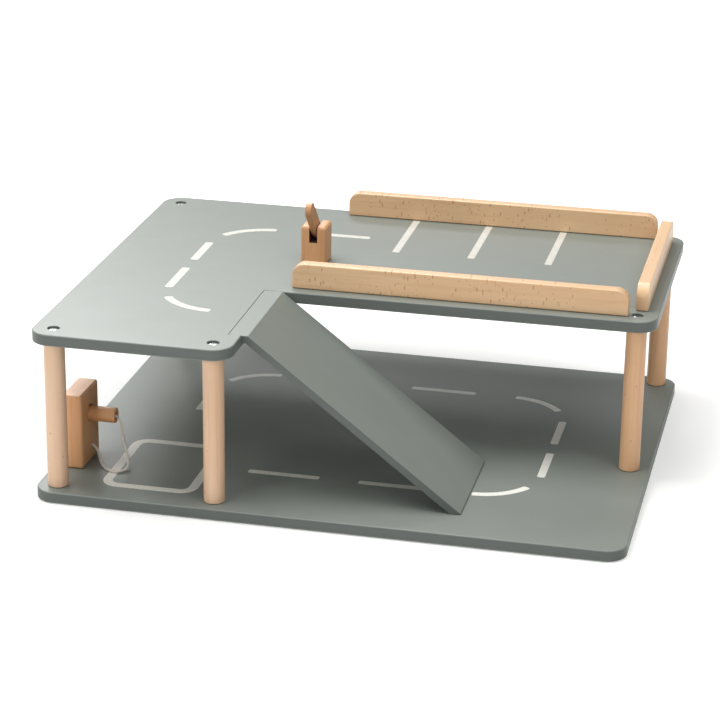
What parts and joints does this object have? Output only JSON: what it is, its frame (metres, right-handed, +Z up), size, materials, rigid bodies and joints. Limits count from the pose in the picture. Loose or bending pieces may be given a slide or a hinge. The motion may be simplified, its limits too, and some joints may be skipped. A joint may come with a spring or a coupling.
{
  "type": "toy garage",
  "caption": "Two-storey wooden toy car garage with an L-shaped parking deck on round posts, a ramp, guard rails, a swinging barrier and a charging post with a plug on a cord.",
  "frame": {"origin": "middle of the base board's underside", "axes": "+X along the base board's long side towards the parking deck's end rail, +Y from the ramp's side towards the back, +Z up"},
  "size_m": [0.45, 0.362, 0.1908],
  "materials": {
    "grey_paint": "grey-green satin paint on a wood-fibre board, with off-white painted road markings",
    "beech": "clear-lacquered steamed beech with fine dark flecks",
    "zinc_steel": "bright zinc-plated steel",
    "cotton_cord": "natural twisted cotton"
  },
  "bodies": {
    "garage": {"barrier_block": "beech", "barrier_pin": "beech", "barrier_screw": "zinc_steel", "base_board": "grey_paint", "base_screw_back_left": "zinc_steel", "base_screw_back_right": "zinc_steel", "base_screw_front_left": "zinc_steel", "base_screw_front_right": "zinc_steel", "base_screw_middle": "zinc_steel", "charger_block": "beech", "charger_screw_back": "zinc_steel", "charger_screw_front": "zinc_steel", "deck_screw_back_left": "zinc_steel", "deck_screw_back_right": "zinc_steel", "deck_screw_front_left": "zinc_steel", "deck_screw_front_right": "zinc_steel", "deck_screw_middle": "zinc_steel", "post_back_left": "beech", "post_back_right": "beech", "post_front_left": "beech", "post_front_right": "beech", "post_middle": "beech", "rail_back": "beech", "rail_end": "beech", "rail_front": "beech", "rail_screw_back_1": "zinc_steel", "rail_screw_back_2": "zinc_steel", "rail_screw_back_3": "zinc_steel", "rail_screw_end_1": "zinc_steel", "rail_screw_end_2": "zinc_steel", "rail_screw_front_1": "zinc_steel", "rail_screw_front_2": "zinc_steel", "rail_screw_front_3": "zinc_steel", "upper_deck": "grey_paint"},
    "ramp": {"ramp": "grey_paint"},
    "barrier_arm": {"barrier_arm": "beech"},
    "charger_plug": {"charger_plug": "beech", "charger_cord": "cotton_cord"}
  },
  "joints": [
    {"name": "ramp_lift", "type": "slide", "parent": "garage", "child": "ramp", "axis": [0, 0, 1], "range_m": [0, 0.05]},
    {"name": "barrier_swing", "type": "hinge", "parent": "garage", "child": "barrier_arm", "pos_m": [-0.05835, 0.0405, 0.1615], "axis": [-1, 0, 0], "range_deg": [-45, 135]},
    {"name": "plug_pull", "type": "slide", "parent": "garage", "child": "charger_plug", "axis": [1, 0, 0], "range_m": [0, 0.03]}
  ]
}
